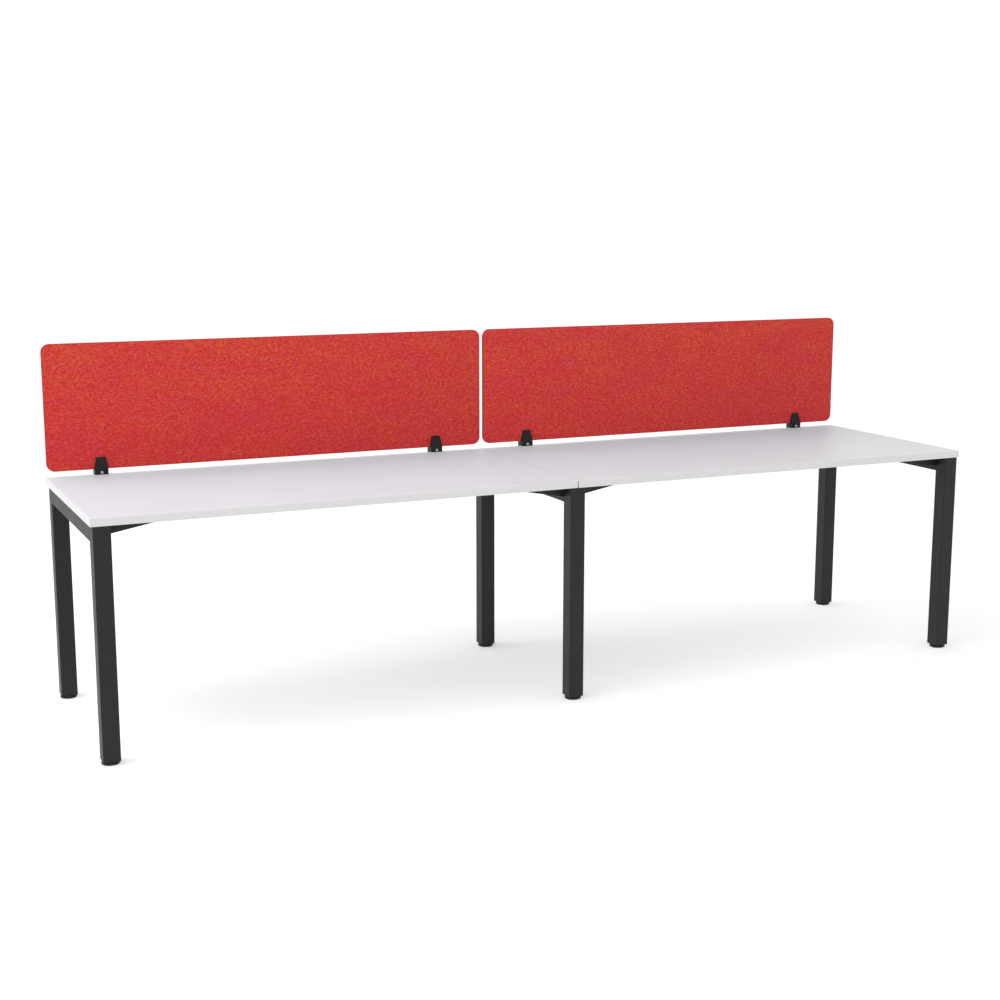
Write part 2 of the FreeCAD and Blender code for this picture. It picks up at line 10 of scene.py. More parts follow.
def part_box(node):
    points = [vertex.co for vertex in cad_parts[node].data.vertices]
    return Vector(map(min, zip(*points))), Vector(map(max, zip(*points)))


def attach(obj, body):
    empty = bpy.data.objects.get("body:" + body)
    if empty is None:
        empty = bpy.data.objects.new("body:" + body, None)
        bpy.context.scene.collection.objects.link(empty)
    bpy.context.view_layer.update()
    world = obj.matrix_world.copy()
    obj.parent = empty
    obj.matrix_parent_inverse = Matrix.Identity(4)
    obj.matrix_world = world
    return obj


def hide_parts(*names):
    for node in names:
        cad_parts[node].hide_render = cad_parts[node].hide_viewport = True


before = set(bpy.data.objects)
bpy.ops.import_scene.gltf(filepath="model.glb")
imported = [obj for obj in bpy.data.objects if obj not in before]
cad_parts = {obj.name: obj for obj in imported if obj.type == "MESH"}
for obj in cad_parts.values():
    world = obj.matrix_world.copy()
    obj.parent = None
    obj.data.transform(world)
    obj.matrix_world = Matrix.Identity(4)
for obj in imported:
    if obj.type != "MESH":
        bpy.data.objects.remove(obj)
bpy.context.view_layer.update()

bl_info = {
    "name": "Two-person workstation desk",
    "version": (1, 0, 0),
    "blender": (4, 5, 0),
    "location": "3D View > Sidebar > Desk",
    "description": "Dresses the packed workstation desk with finishes, fixings, felt screens and studio",
    "category": "Object",
}

MM = 0.001

BAYS = ("left", "right")
SIDES = ("outer", "inner")
ROWS = ("front", "rear")
COLUMNS = ("left", "centre", "right")
LEGS = [f"{column}_{row}" for column in COLUMNS for row in ROWS]
CLAMPS = [f"{bay}_{side}" for bay in BAYS for side in SIDES]
WINGS = [f"desktop_bracket_{clamp}_{row}" for clamp in CLAMPS for row in ROWS]


# Properties that a user would change

class DeskFinishes(PropertyGroup):
    """Colours of the desk's finishes, as linear light."""

    melamine: FloatVectorProperty(
        name="Top facing", description="White melamine on the tops",
        subtype="COLOR", size=3, min=0, max=1, default=(0.82, 0.795, 0.826))
    edge_band: FloatVectorProperty(
        name="Edge band", description="White band round the tops",
        subtype="COLOR", size=3, min=0, max=1, default=(0.87, 0.858, 0.874))
    powder_coat: FloatVectorProperty(
        name="Frame coat", description="Black powder coat on legs, rails, beams and desktop brackets",
        subtype="COLOR", size=3, min=0, max=1, default=(0.0145, 0.0145, 0.015))
    clamp_coat: FloatVectorProperty(
        name="Clamp coat", description="Black coat on the screen clamps",
        subtype="COLOR", size=3, min=0, max=1, default=(0.008, 0.008, 0.0085))
    zinc: FloatVectorProperty(
        name="Zinc", description="Bright zinc on bolts, screws and studs",
        subtype="COLOR", size=3, min=0, max=1, default=(0.50, 0.505, 0.51))
    moulded_black: FloatVectorProperty(
        name="Foot plastic", description="Black plastic of the feet and leg inserts",
        subtype="COLOR", size=3, min=0, max=1, default=(0.012, 0.012, 0.012))
    felt_red: FloatVectorProperty(
        name="Felt ground", description="Red that most of the felt's fibres have",
        subtype="COLOR", size=3, min=0, max=1, default=(0.62, 0.034, 0.030))
    felt_orange: FloatVectorProperty(
        name="Felt orange", description="Orange fibres mixed into the felt",
        subtype="COLOR", size=3, min=0, max=1, default=(0.71, 0.092, 0.034))
    felt_rose: FloatVectorProperty(
        name="Felt rose", description="Rose fibres mixed into the felt",
        subtype="COLOR", size=3, min=0, max=1, default=(0.645, 0.044, 0.058))
    # Darker colour on the felt boards' rounded edges and sides: partly pressed felt, partly painted shade.
    felt_rim_and_shade: FloatVectorProperty(
        name="Felt rim", description="Pressed rim round the edges of the felt boards",
        subtype="COLOR", size=3, min=0, max=1, default=(0.42, 0.036, 0.038))


class DeskSizes(PropertyGroup):
    """Sizes of the details that this script adds."""

    felt_round: FloatProperty(
        name="Felt edge round", description="Radius along the edges of the felt boards",
        unit="LENGTH", default=1.6 * MM, min=0.2 * MM, max=5 * MM)
    felt_corner: FloatProperty(
        name="Felt corner", description="Radius of the felt boards' four corners",
        unit="LENGTH", default=28 * MM, min=5 * MM, max=100 * MM)
    fibre_length: FloatProperty(
        name="Fibre length", description="Length of the loose fibres that stand off the felt",
        unit="LENGTH", default=2.4 * MM, min=0.5 * MM, max=8 * MM)
    fibre_radius: FloatProperty(
        name="Fibre radius", description="Radius of a loose fibre",
        unit="LENGTH", default=0.05 * MM, min=0.01 * MM, max=0.5 * MM)
    fibre_density: FloatProperty(
        name="Fibres per square metre", description="How many loose fibres stand off the felt",
        default=1300, min=0, max=5000)
    stud_pitch: FloatProperty(
        name="Stud pitch", description="Thread pitch of the foot studs",
        unit="LENGTH", default=1.5 * MM, min=0.5 * MM, max=3 * MM)
    screw_pitch: FloatProperty(
        name="Clamp screw pitch", description="Thread pitch of the clamp screws",
        unit="LENGTH", default=1.0 * MM, min=0.3 * MM, max=3 * MM)
    thread_segments: IntProperty(
        name="Thread segments", description="Sides of a threaded shank",
        default=28, min=8, max=64)


class DeskStage(PropertyGroup):
    """Camera, light and floor of the studio."""

    camera_place: FloatVectorProperty(
        name="Camera place", description="Where the camera stands",
        subtype="TRANSLATION", unit="LENGTH", size=3, default=(-2.4027, -5.0266, 1.6441))
    camera_heading: FloatProperty(
        name="Heading", description="Turn of the camera from the desk's depth towards its right end",
        subtype="ANGLE", default=0.4297)
    camera_dip: FloatProperty(
        name="Dip", description="Angle that the camera looks down by",
        subtype="ANGLE", default=0.1809)
    camera_lens: FloatProperty(
        name="Lens", description="Focal length on a sensor 36 mm wide",
        unit="CAMERA", default=57.07, min=10, max=300)
    sky_strength: FloatProperty(
        name="Sky", description="Strength of the even white light from all round",
        default=0.795, min=0, max=3)
    sky_lean: FloatVectorProperty(
        name="Sky lean", description="How much the sky brightens along each axis of the desk",
        subtype="XYZ", size=3, min=-1, max=1, default=(-0.5, -0.1, 0.0))
    key_power: FloatProperty(
        name="Key light", description="Power of the soft light above the left end",
        unit="POWER", default=49, min=0, max=5000)
    # The floor's glow is painted light seen by direct rays: this lift under the desk's middle, more further
    # out, a little less again beyond the desk's shade.
    floor_lift: FloatProperty(
        name="Floor lift", description="White that the floor shows the camera under the desk's middle",
        default=0.29, min=0, max=1)
    floor_painted_rise: FloatProperty(
        name="Floor rise", description="How much more white the floor shows away from the desk's middle",
        default=0.14, min=0, max=1)
    floor_painted_fall: FloatProperty(
        name="Floor fall", description="How much of that white the floor loses beyond the desk's shade",
        default=0.045, min=0, max=1)
    floor_albedo: FloatProperty(
        name="Floor colour", description="How much light the floor gives back",
        default=0.88, min=0, max=1)


# Node helpers

def add_node(tree, kind, inputs=None, **settings):
    """Adds a node, sets its options, then feeds each named or numbered input a socket or a value."""
    node = tree.nodes.new(kind)
    for name, value in settings.items():
        setattr(node, name, value)
    for key, value in (inputs or {}).items():
        if isinstance(value, bpy.types.NodeSocket):
            tree.links.new(value, node.inputs[key])
        else:
            node.inputs[key].default_value = value
    return node


def calculate(tree, operation, *values):
    """One Math node of either kind of tree, as its output socket."""
    inputs = dict(enumerate(values))
    return add_node(tree, "ShaderNodeMath", inputs, operation=operation).outputs[0]


def spread(tree, value, low, high, to_low=0.0, to_high=1.0):
    """Maps a value from one range to another, with its ends held."""
    inputs = {"Value": value, "From Min": low, "From Max": high, "To Min": to_low, "To Max": to_high}
    return add_node(tree, "ShaderNodeMapRange", inputs).outputs["Result"]


def blend_colours(tree, mask, first, second):
    """Mixes two colours by a mask, as the output socket. Colours are sockets or property values."""
    def four(colour):
        return colour if isinstance(colour, bpy.types.NodeSocket) else (*colour, 1.0)
    node = add_node(tree, "ShaderNodeMix", {0: mask, 6: four(first), 7: four(second)}, data_type="RGBA")
    return node.outputs[2]


def vector_math(tree, operation, first, second):
    """One Vector Math node, as the output socket that its operation fills."""
    node = add_node(tree, "ShaderNodeVectorMath", {0: first, 1: second}, operation=operation)
    return node.outputs["Value" if operation == "DOT_PRODUCT" else "Vector"]


def position_parts(tree):
    """The three parts of a point's place in a Geometry Nodes tree, as sockets."""
    place = add_node(tree, "GeometryNodeInputPosition").outputs["Position"]
    parts = add_node(tree, "ShaderNodeSeparateXYZ", {"Vector": place}).outputs
    return parts["X"], parts["Y"], parts["Z"]


def shade(colour, factor):
    """A property colour made darker or lighter."""
    return tuple(min(1.0, part * factor) for part in colour)


def new_group(name, kind, inputs, outputs):
    """A node group with its interface, as the tree and its input and output nodes."""
    tree = bpy.data.node_groups.new(name, kind)
    for socket, socket_type, default in inputs:
        item = tree.interface.new_socket(socket, in_out="INPUT", socket_type=socket_type)
        if default is not None:
            item.default_value = default
    for socket, socket_type in outputs:
        tree.interface.new_socket(socket, in_out="OUTPUT", socket_type=socket_type)
    return tree, tree.nodes.new("NodeGroupInput"), tree.nodes.new("NodeGroupOutput")


def place_group(tree, name, inputs):
    """A node that holds the named shader node group."""
    return add_node(tree, "ShaderNodeGroup", inputs, node_tree=bpy.data.node_groups[name])


# Shared surface effects

GRAIN_ENDS = (0.32, 0.68)
SMUDGE_ENDS = (0.35, 0.68)


def build_fine_grain():
    """Fine grain with broad smudges: a height for bumps, and two values that vary over the surface."""
    inputs = [("Vector", "NodeSocketVector", None), ("Grain scale", "NodeSocketFloat", 900.0),
              ("Smudge scale", "NodeSocketFloat", 4.0)]
    outputs = [(name, "NodeSocketFloat") for name in ("Height", "Grain", "Smudge")]
    tree, source, result = new_group("Fine grain", "ShaderNodeTree", inputs, outputs)
    vector = source.outputs["Vector"]
    fine = add_node(tree, "ShaderNodeTexNoise", {
        "Vector": vector, "Scale": source.outputs["Grain scale"], "Detail": 3.0, "Roughness": 0.6})
    broad = add_node(tree, "ShaderNodeTexNoise", {
        "Vector": vector, "Scale": source.outputs["Smudge scale"], "Detail": 5.0, "Roughness": 0.62,
        "Distortion": 0.4})
    grain = spread(tree, fine.outputs["Fac"], *GRAIN_ENDS)
    smudge = spread(tree, broad.outputs["Fac"], *SMUDGE_ENDS)
    tree.links.new(fine.outputs["Fac"], result.inputs["Height"])
    tree.links.new(grain, result.inputs["Grain"])
    tree.links.new(smudge, result.inputs["Smudge"])


FLECK_ENDS = (0.41, 0.59)
FLECK_DETAIL = 2.0
DRIFT_DETAIL = 3.0
FIBRE_DETAIL = 3.0
LYING_FIBRES = {"Rotation": (0.0, 0.1, 0.0), "Scale": (0.55, 1.0, 1.0)}
SLANTED_DRIFTS = {"Rotation": (0.0, 0.8, 0.0), "Scale": (0.4, 1.0, 1.4)}
UNMOVED = (0.0, 0.0, 0.0)
ORANGE_SHIFT = (3.7, 1.9, 5.3)
ROSE_SHIFT = (8.1, 4.4, 2.6)
TONE_SHIFT = (1.2, 9.7, 6.1)
TONE_SCALE = 0.8
FIBRE_SCALE = 4.0
FLECK_RELIEF = 0.6


def build_felt_flecks():
    """Masks for the felt's coloured fibres, a tone that varies by tuft, and a height for bumps."""
    inputs = [("Vector", "NodeSocketVector", None), ("Fleck scale", "NodeSocketFloat", 210.0),
              ("Drift scale", "NodeSocketFloat", 8.0), ("Drift share", "NodeSocketFloat", 0.24),
              ("Warm rise", "NodeSocketFloat", 0.30), ("Middle height", "NodeSocketFloat", 1.0)]
    outputs = [(name, "NodeSocketFloat") for name in ("Orange", "Rose", "Tone", "Height")]
    tree, source, result = new_group("Felt flecks", "ShaderNodeTree", inputs, outputs)
    vector = source.outputs["Vector"]
    scale = source.outputs["Fleck scale"]
    lying = add_node(tree, "ShaderNodeMapping", {"Vector": vector, **LYING_FIBRES}).outputs["Vector"]
    slanted = add_node(tree, "ShaderNodeMapping", {"Vector": vector, **SLANTED_DRIFTS}).outputs["Vector"]

    def noise(coordinates, noise_scale, detail, shift):
        moved = vector_math(tree, "ADD", coordinates, shift)
        return add_node(tree, "ShaderNodeTexNoise", {
            "Vector": moved, "Scale": noise_scale, "Detail": detail, "Roughness": 0.6,
            "Distortion": 0.3}).outputs["Fac"]

    drift = noise(slanted, source.outputs["Drift scale"], DRIFT_DETAIL, UNMOVED)
    drift = calculate(tree, "SUBTRACT", drift, 0.5)
    drift = calculate(tree, "MULTIPLY", drift, source.outputs["Drift share"])
    height = add_node(tree, "ShaderNodeSeparateXYZ", {"Vector": vector}).outputs["Z"]
    rise = calculate(tree, "SUBTRACT", height, source.outputs["Middle height"])
    warm = calculate(tree, "ADD", drift, calculate(tree, "MULTIPLY", rise, source.outputs["Warm rise"]))
    orange = noise(lying, scale, FLECK_DETAIL, ORANGE_SHIFT)
    rose = noise(lying, scale, FLECK_DETAIL, ROSE_SHIFT)
    tone = noise(lying, calculate(tree, "MULTIPLY", scale, TONE_SCALE), FLECK_DETAIL, TONE_SHIFT)
    fibres = noise(lying, calculate(tree, "MULTIPLY", scale, FIBRE_SCALE), FIBRE_DETAIL, UNMOVED)
    masks = {
        "Orange": calculate(tree, "ADD", orange, warm),
        "Rose": calculate(tree, "SUBTRACT", rose, drift),
        "Tone": tone,
    }
    for name, mask in masks.items():
        tree.links.new(spread(tree, mask, *FLECK_ENDS), result.inputs[name])
    relief = calculate(tree, "ADD", fibres, calculate(tree, "MULTIPLY", orange, FLECK_RELIEF))
    tree.links.new(relief, result.inputs["Height"])


# Finishes

def start_finish(name):
    """An empty material with a Principled shader, as its tree, shader and Object coordinates."""
    material = bpy.data.materials.new(name)
    material.use_nodes = True
    tree = material.node_tree
    tree.nodes.clear()
    shader = tree.nodes.new("ShaderNodeBsdfPrincipled")
    output = tree.nodes.new("ShaderNodeOutputMaterial")
    tree.links.new(shader.outputs["BSDF"], output.inputs["Surface"])
    coordinates = tree.nodes.new("ShaderNodeTexCoord").outputs["Object"]
    return tree, shader, coordinates


def bump(tree, shader, height, strength, distance):
    """Roughens a shader's surface by a height."""
    node = add_node(tree, "ShaderNodeBump", {"Height": height, "Strength": strength, "Distance": distance})
    tree.links.new(node.outputs["Normal"], shader.inputs["Normal"])


GRAIN_IN_ROUGHNESS = 0.35
GRAIN_BUMP = 0.25
PLAIN_SPECULAR = 0.5


def grained_finish(name, colour, grain_scale, tone, rough, bump_height, specular=PLAIN_SPECULAR):
    """A finish with fine grain: tone is how far its colour varies, rough its least and most roughness."""
    tree, shader, coordinates = start_finish(name)
    grain = place_group(tree, "Fine grain", {"Vector": coordinates, "Grain scale": grain_scale})
    speck = blend_colours(tree, grain.outputs["Grain"], shade(colour, 1 - tone), shade(colour, 1 + tone))
    smudged = blend_colours(tree, grain.outputs["Smudge"], shade(colour, 1 - tone / 2), speck)
    tree.links.new(smudged, shader.inputs["Base Color"])
    grain_share = calculate(tree, "MULTIPLY", grain.outputs["Grain"], GRAIN_IN_ROUGHNESS)
    smudge_share = calculate(tree, "MULTIPLY", grain.outputs["Smudge"], 1 - GRAIN_IN_ROUGHNESS)
    mixed = calculate(tree, "ADD", grain_share, smudge_share)
    tree.links.new(spread(tree, mixed, 0.0, 1.0, *rough), shader.inputs["Roughness"])
    shader.inputs["Specular IOR Level"].default_value = specular
    bump(tree, shader, grain.outputs["Height"], GRAIN_BUMP, bump_height)
    return tree, shader


def melamine_finish(finishes):
    """Matt white facing of the tops."""
    grained_finish("White melamine", finishes.melamine, grain_scale=700.0, tone=0.012,
                   rough=(0.42, 0.52), bump_height=0.08 * MM, specular=0.35)


# Painted shade on the joint's lips: none on its inner walls, full from JOINT_LIP to JOINT_NEAR, fading out
# by JOINT_FAR.
JOINT_WALL = 2.02 * MM
JOINT_LIP = 2.2 * MM
JOINT_NEAR = 2.6 * MM
JOINT_FAR = 3.6 * MM
JOINT_PAINTED_SHADE = 0.70


def edge_band_finish(finishes):
    """White band, with painted shade on the rounded lips of the joint between the two tops."""
    tree, shader = grained_finish("White edge band", finishes.edge_band, grain_scale=330.0, tone=0.03,
                                  rough=(0.45, 0.58), bump_height=0.15 * MM, specular=0.35)
    coordinates = tree.nodes.new("ShaderNodeTexCoord").outputs["Object"]
    along = add_node(tree, "ShaderNodeSeparateXYZ", {"Vector": coordinates}).outputs["X"]
    from_middle = calculate(tree, "ABSOLUTE", along)
    # Mask of painted shade on the rounded lips of the joint between the two tops.
    joint_painted_shade = calculate(tree, "MULTIPLY", spread(tree, from_middle, JOINT_WALL, JOINT_LIP),
                        spread(tree, from_middle, JOINT_NEAR, JOINT_FAR, 1.0, 0.0))
    unshaded_band = shader.inputs["Base Color"].links[0].from_socket
    shown = blend_colours(tree, joint_painted_shade, unshaded_band, shade(finishes.edge_band, JOINT_PAINTED_SHADE))
    tree.links.new(shown, shader.inputs["Base Color"])


def powder_coat_finish(finishes):
    """Matt black coat of the frames, with a fine speck."""
    grained_finish("Black powder coat", finishes.powder_coat, grain_scale=1100.0, tone=0.16,
                   rough=(0.45, 0.55), bump_height=0.1 * MM, specular=0.31)


def clamp_coat_finish(finishes):
    """Deeper black coat of the screen clamps."""
    grained_finish("Black clamp coat", finishes.clamp_coat, grain_scale=1400.0, tone=0.16,
                   rough=(0.42, 0.52), bump_height=0.08 * MM, specular=0.25)


def moulded_plastic_finish(finishes):
    """Black plastic of the feet and leg inserts."""
    grained_finish("Black moulded plastic", finishes.moulded_black, grain_scale=1700.0, tone=0.14,
                   rough=(0.44, 0.56), bump_height=0.06 * MM, specular=0.4)


def zinc_finish(finishes):
    """Bright zinc of the fixings, smudged by handling."""
    _, shader = grained_finish("Bright zinc", finishes.zinc, grain_scale=1500.0, tone=0.06,
                               rough=(0.30, 0.46), bump_height=0.02 * MM)
    shader.inputs["Metallic"].default_value = 1.0


FELT_DEEP = (0.97, 0.60, 0.60)
FELT_PALE = (1.03, 1.42, 1.40)
FELT_BOUNCE = (0.075, 0.035, 0.075)
# Mesh attribute that marks the rim, which is partly pressed felt and partly painted shade.
FELT_RIM_AND_SHADE = "Rim"
FELT_BUMP = 0.4
FELT_BUMP_HEIGHT = 0.3 * MM


def felt_finish(finishes):
    """Pressed felt of three reds that mix from tuft to tuft, and throws little red onto the tops."""
    tree, shader, coordinates = start_finish("Red flecked felt")
    low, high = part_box("screen_left")
    middle = (low.z + high.z) / 2
    flecks = place_group(tree, "Felt flecks", {"Vector": coordinates, "Middle height": middle})
    warm = blend_colours(tree, flecks.outputs["Orange"], finishes.felt_red, finishes.felt_orange)
    mixed = blend_colours(tree, flecks.outputs["Rose"], warm, finishes.felt_rose)
    tone = blend_colours(tree, flecks.outputs["Tone"], FELT_DEEP, FELT_PALE)
    toned = add_node(tree, "ShaderNodeMix", {0: 1.0, 6: mixed, 7: tone}, data_type="RGBA",
                     blend_type="MULTIPLY", clamp_result=False).outputs[2]
    # Rim on the boards' edges and sides: partly pressed felt, partly painted shade.
    rim_and_shade = add_node(tree, "ShaderNodeAttribute", attribute_name=FELT_RIM_AND_SHADE).outputs["Fac"]
    toned = blend_colours(tree, rim_and_shade, toned, finishes.felt_rim_and_shade)
    path = tree.nodes.new("ShaderNodeLightPath")
    bounced = calculate(tree, "MAXIMUM", path.outputs["Is Diffuse Ray"], path.outputs["Is Glossy Ray"])
    shown = blend_colours(tree, bounced, toned, FELT_BOUNCE)
    tree.links.new(shown, shader.inputs["Base Color"])
    shader.inputs["Roughness"].default_value = 0.95
    shader.inputs["Specular IOR Level"].default_value = 0.12
    shader.inputs["Sheen Weight"].default_value = 0.06
    shader.inputs["Sheen Roughness"].default_value = 0.6
    bump(tree, shader, flecks.outputs["Height"], FELT_BUMP, FELT_BUMP_HEIGHT)


FINISH_MAKERS = {
    "White melamine": melamine_finish,
    "White edge band": edge_band_finish,
    "Black powder coat": powder_coat_finish,
    "Black clamp coat": clamp_coat_finish,
    "Black moulded plastic": moulded_plastic_finish,
    "Bright zinc": zinc_finish,
    "Red flecked felt": felt_finish,
}


def finish(name):
    """The named finish, made on its first use."""
    for group, maker in (("Fine grain", build_fine_grain), ("Felt flecks", build_felt_flecks)):
        if group not in bpy.data.node_groups:
            maker()
    if name not in bpy.data.materials:
        FINISH_MAKERS[name](bpy.context.scene.desk_finishes)
    return bpy.data.materials[name]


def coat_nodes(names, finish_name):
    """Gives CAD nodes their finish."""
    material = finish(finish_name)
    for name in names:
        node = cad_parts[name]
        if not node.material_slots:
            node.data.materials.append(material)
        for slot in node.material_slots:
            slot.material = material


# Mesh helpers

def new_piece(name, mesh, finish_name):
    """An object for a mesh, at the origin and with one finish."""
    piece = bpy.data.objects.new(name, mesh)
    bpy.context.scene.collection.objects.link(piece)
    mesh.materials.clear()
    mesh.materials.append(finish(finish_name))
    return piece


def mesh_from(bm, name, smooth_angle=math.radians(35)):
    """Turns a bmesh into a mesh that is smooth except across sharp edges."""
    bmesh.ops.recalc_face_normals(bm, faces=bm.faces)
    mesh = bpy.data.meshes.new(name)
    bm.to_mesh(mesh)
    bm.free()
    mesh.shade_smooth()
    mesh.set_sharp_from_angle(angle=smooth_angle)
    return mesh


def ring(bm, points):
    """New vertices at the points of one closed ring."""
    return [bm.verts.new(point) for point in points]


def bridge(bm, first, second):
    """Quads between two closed rings of like length."""
    count = len(first)
    for index in range(count):
        following = (index + 1) % count
        bm.faces.new((first[index], first[following], second[following], second[index]))


def polar_ring(bm, reach_at, height, sides):
    """A ring about Z, as far from the middle at each angle as reach_at says."""
    points = []
    for step in range(sides):
        angle = math.tau * step / sides
        reach = reach_at(angle)
        points.append(Vector((reach * math.cos(angle), reach * math.sin(angle), height)))
    return ring(bm, points)


def turned_rings(bm, profile, sides):
    """Rings of a shape turned about Z, one for each radius and height of its profile."""
    return [polar_ring(bm, lambda angle: radius, height, sides) for radius, height in profile]


def join_rings(bm, rings):
    """Skins a stack of rings, and closes its two ends."""
    for lower, upper in zip(rings, rings[1:]):
        bridge(bm, lower, upper)
    bm.faces.new(rings[0])
    bm.faces.new(rings[-1])


def hexagon_radius(angle, across_flats):
    """Distance from a hexagon's middle to its side, at an angle."""
    from_flat = (angle + math.pi / 6) % (math.pi / 3) - math.pi / 6
    return across_flats / 2 / math.cos(from_flat)


def apply_nodes(piece, tree, values):
    """Runs a Geometry Nodes tree on a piece with the given inputs, and keeps the result as a plain mesh."""
    modifier = piece.modifiers.new(tree.name, "NODES")
    modifier.node_group = tree
    sockets = [item for item in tree.interface.items_tree if item.in_out == "INPUT"]
    identifiers = {item.name: item.identifier for item in sockets}
    for name, value in values.items():
        modifier[identifiers[name]] = value
    graph = bpy.context.evaluated_depsgraph_get()
    mesh = bpy.data.meshes.new_from_object(piece.evaluated_get(graph))
    piece.modifiers.clear()
    plain = piece.data
    piece.data = mesh
    bpy.data.meshes.remove(plain)


def finish_tree(tree, result, geometry, material):
    """Ends a Geometry Nodes tree in Realize Instances and Set Material."""
    realized = add_node(tree, "GeometryNodeRealizeInstances", {"Geometry": geometry})
    painted = add_node(tree, "GeometryNodeSetMaterial", {
        "Geometry": realized.outputs["Geometry"], "Material": material})
    tree.links.new(painted.outputs["Geometry"], result.inputs["Geometry"])


# Geometry Nodes trees

MESH_ONLY = [("Geometry", "NodeSocketGeometry")]


def random_spin(tree, seed):
    """A random turn about Z for each point, as a rotation socket."""
    angle = add_node(tree, "FunctionNodeRandomValue", {"Seed": seed}, data_type="FLOAT")
    angle.inputs[3].default_value = math.tau
    spin = add_node(tree, "ShaderNodeCombineXYZ", {"Z": angle.outputs[1]}).outputs["Vector"]
    return add_node(tree, "FunctionNodeEulerToRotation", {"Euler": spin}).outputs["Rotation"]


THREAD_CREST = 0.06
THREAD_ROOT = 0.42


def thread_tree():
    """Adds a shank with a right-hand thread, along Z of a turned and moved frame, to the incoming mesh."""
    inputs = [
        ("Geometry", "NodeSocketGeometry", None),
        ("Radius", "NodeSocketFloat", 5 * MM),
        ("Thread depth", "NodeSocketFloat", 0.7 * MM),
        ("Pitch", "NodeSocketFloat", 1.5 * MM),
        ("Length", "NodeSocketFloat", 45 * MM),
        ("End chamfer", "NodeSocketFloat", 1 * MM),
        ("Segments", "NodeSocketInt", 28),
        ("Rows", "NodeSocketInt", 200),
        ("Middle", "NodeSocketVector", None),
        ("Turn", "NodeSocketVector", None),
        ("Material", "NodeSocketMaterial", None),
    ]
    tree, source, result = new_group("Threaded shank", "GeometryNodeTree", inputs, MESH_ONLY)
    given = source.outputs
    rod = add_node(tree, "GeometryNodeMeshCylinder", {
        "Vertices": given["Segments"], "Side Segments": given["Rows"], "Radius": given["Radius"],
        "Depth": given["Length"]})
    x, y, z = position_parts(tree)
    around = calculate(tree, "DIVIDE", calculate(tree, "ARCTAN2", y, x), math.tau)
    phase = calculate(tree, "SUBTRACT", calculate(tree, "DIVIDE", z, given["Pitch"]), around)
    flank = calculate(tree, "PINGPONG", phase, 0.5)
    groove = spread(tree, flank, THREAD_CREST, THREAD_ROOT)
    cut = calculate(tree, "SUBTRACT", given["Radius"],
                    calculate(tree, "MULTIPLY", groove, given["Thread depth"]))
    from_end = calculate(tree, "SUBTRACT", calculate(tree, "MULTIPLY", given["Length"], 0.5), z)
    chamfered = calculate(tree, "ADD", from_end,
                          calculate(tree, "SUBTRACT", given["Radius"], given["End chamfer"]))
    radius = calculate(tree, "MINIMUM", cut, chamfered)
    factor = calculate(tree, "DIVIDE", radius, given["Radius"])
    moved = add_node(tree, "ShaderNodeCombineXYZ", {
        "X": calculate(tree, "MULTIPLY", x, factor), "Y": calculate(tree, "MULTIPLY", y, factor), "Z": z})
    shaped = add_node(tree, "GeometryNodeSetPosition", {
        "Geometry": rod.outputs["Mesh"], "Position": moved.outputs["Vector"]})
    turn = add_node(tree, "FunctionNodeEulerToRotation", {"Euler": given["Turn"]})
    seated = add_node(tree, "GeometryNodeTransform", {
        "Geometry": shaped.outputs["Geometry"], "Translation": given["Middle"],
        "Rotation": turn.outputs["Rotation"]})
    both = tree.nodes.new("GeometryNodeJoinGeometry")
    tree.links.new(given["Geometry"], both.inputs["Geometry"])
    tree.links.new(seated.outputs["Geometry"], both.inputs["Geometry"])
    finish_tree(tree, result, both.outputs["Geometry"], given["Material"])
    return tree


def screws_tree():
    """Puts one screw on each point of the incoming mesh."""
    inputs = [
        ("Geometry", "NodeSocketGeometry", None),
        ("Screw", "NodeSocketObject", None),
        ("Seed", "NodeSocketInt", 5),
        ("Material", "NodeSocketMaterial", None),
    ]
    tree, source, result = new_group("Screws on points", "GeometryNodeTree", inputs, MESH_ONLY)
    screw = add_node(tree, "GeometryNodeObjectInfo", {"Object": source.outputs["Screw"]})
    placed = add_node(tree, "GeometryNodeInstanceOnPoints", {
        "Points": source.outputs["Geometry"], "Instance": screw.outputs["Geometry"],
        "Rotation": random_spin(tree, source.outputs["Seed"])})
    finish_tree(tree, result, placed.outputs["Instances"], source.outputs["Material"])
    return tree


FIBRE_BOW = 0.28
FIBRE_STEPS = 3
FIBRE_SIDES = 3
FIBRE_LEAST = 0.5


